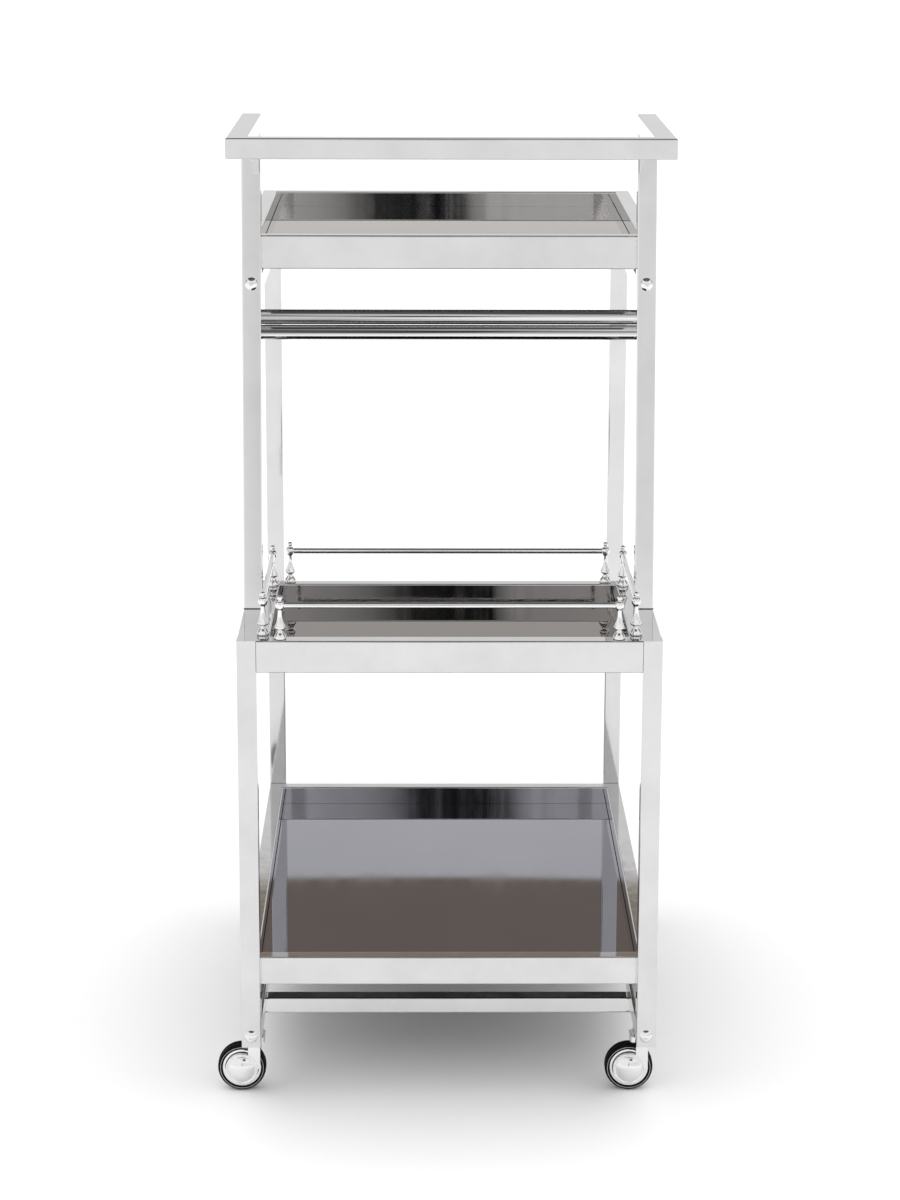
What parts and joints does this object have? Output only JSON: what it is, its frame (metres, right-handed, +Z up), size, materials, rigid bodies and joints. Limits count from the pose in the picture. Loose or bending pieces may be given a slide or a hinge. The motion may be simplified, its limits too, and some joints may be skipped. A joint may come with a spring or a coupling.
{
  "type": "bar cart on wheels",
  "caption": "Stepped bar cart of polished square tube on swivel casters, with smoked mirror trays, a turned gallery on the middle shelf and a push handle.",
  "frame": {"origin": "on the floor, under the middle of the cart's outer box", "axes": "+X to the right as seen from the handle end, +Y away from the handle end, +Z up"},
  "size_m": [0.488, 0.717, 1.014],
  "materials": {
    "polished_steel": "mirror polished",
    "gallery_chrome": "mirror polished, turned",
    "caster_chrome": "polished",
    "screw_steel": "polished",
    "pan_black": "satin black",
    "smoked_mirror_glass": "smoked bronze grey, polished",
    "tyre_rubber": "matte",
    "foot_plug": "matte"
  },
  "bodies": {
    "root": {"base_cross_bar_back": "polished_steel", "base_cross_bar_front": "polished_steel", "base_rail_left": "polished_steel", "base_rail_right": "polished_steel", "bottom_tray_glass": "smoked_mirror_glass", "bottom_tray_pan": "pan_black", "bottom_tray_rim_back": "polished_steel", "bottom_tray_rim_front": "polished_steel", "bottom_tray_rim_left": "polished_steel", "bottom_tray_rim_right": "polished_steel", "caster_stems": "caster_chrome", "frame_screws_lower": "screw_steel", "frame_screws_upper": "screw_steel", "gallery_balusters": "gallery_chrome", "gallery_rail_back": "gallery_chrome", "gallery_rail_front": "gallery_chrome", "gallery_rail_left": "gallery_chrome", "gallery_rail_right": "gallery_chrome", "handle_arm_left": "polished_steel", "handle_arm_right": "polished_steel", "handle_bar": "polished_steel", "leg_back_left": "polished_steel", "leg_back_right": "polished_steel", "leg_front_left": "polished_steel", "leg_front_right": "polished_steel", "leg_plugs": "foot_plug", "middle_tray_glass": "smoked_mirror_glass", "middle_tray_pan": "pan_black", "middle_tray_rim_back": "polished_steel", "middle_tray_rim_front": "polished_steel", "middle_tray_rim_left": "polished_steel", "middle_tray_rim_right": "polished_steel", "post_left": "polished_steel", "post_right": "polished_steel", "rod_lower": "polished_steel", "rod_upper": "polished_steel", "top_tray_glass": "smoked_mirror_glass", "top_tray_pan": "pan_black", "top_tray_rim_back": "polished_steel", "top_tray_rim_front": "polished_steel", "top_tray_rim_left": "polished_steel", "top_tray_rim_right": "polished_steel", "upper_rail_left": "polished_steel", "upper_rail_right": "polished_steel"},
    "caster_front_left": {"caster_fork_front_left": "caster_chrome", "caster_axle_front_left": "caster_chrome"},
    "wheel_front_left": {"wheel_hub_front_left": "caster_chrome", "wheel_tyre_front_left": "tyre_rubber"},
    "caster_front_right": {"caster_fork_front_right": "caster_chrome", "caster_axle_front_right": "caster_chrome"},
    "wheel_front_right": {"wheel_hub_front_right": "caster_chrome", "wheel_tyre_front_right": "tyre_rubber"},
    "caster_back_left": {"caster_fork_back_left": "caster_chrome", "caster_axle_back_left": "caster_chrome"},
    "wheel_back_left": {"wheel_hub_back_left": "caster_chrome", "wheel_tyre_back_left": "tyre_rubber"},
    "caster_back_right": {"caster_fork_back_right": "caster_chrome", "caster_axle_back_right": "caster_chrome"},
    "wheel_back_right": {"wheel_hub_back_right": "caster_chrome", "wheel_tyre_back_right": "tyre_rubber"}
  },
  "joints": [
    {"name": "swivel_front_left", "type": "hinge", "parent": "root", "child": "caster_front_left", "pos_m": [-0.205, -0.2365, 0.058], "axis": [0, 0, 1], "continuous": true},
    {"name": "roll_front_left", "type": "hinge", "parent": "caster_front_left", "child": "wheel_front_left", "pos_m": [-0.2185, -0.2365, 0.0255], "axis": [0, 1, 0], "continuous": true},
    {"name": "swivel_front_right", "type": "hinge", "parent": "root", "child": "caster_front_right", "pos_m": [0.205, -0.2365, 0.058], "axis": [0, 0, 1], "continuous": true},
    {"name": "roll_front_right", "type": "hinge", "parent": "caster_front_right", "child": "wheel_front_right", "pos_m": [0.1915, -0.2365, 0.0255], "axis": [0, 1, 0], "continuous": true},
    {"name": "swivel_back_left", "type": "hinge", "parent": "root", "child": "caster_back_left", "pos_m": [-0.205, 0.29315, 0.058], "axis": [0, 0, 1], "continuous": true},
    {"name": "roll_back_left", "type": "hinge", "parent": "caster_back_left", "child": "wheel_back_left", "pos_m": [-0.1915, 0.29315, 0.0255], "axis": [0, 1, 0], "continuous": true},
    {"name": "swivel_back_right", "type": "hinge", "parent": "root", "child": "caster_back_right", "pos_m": [0.205, 0.29315, 0.058], "axis": [0, 0, 1], "continuous": true},
    {"name": "roll_back_right", "type": "hinge", "parent": "caster_back_right", "child": "wheel_back_right", "pos_m": [0.2185, 0.29315, 0.0255], "axis": [0, 1, 0], "continuous": true}
  ]
}
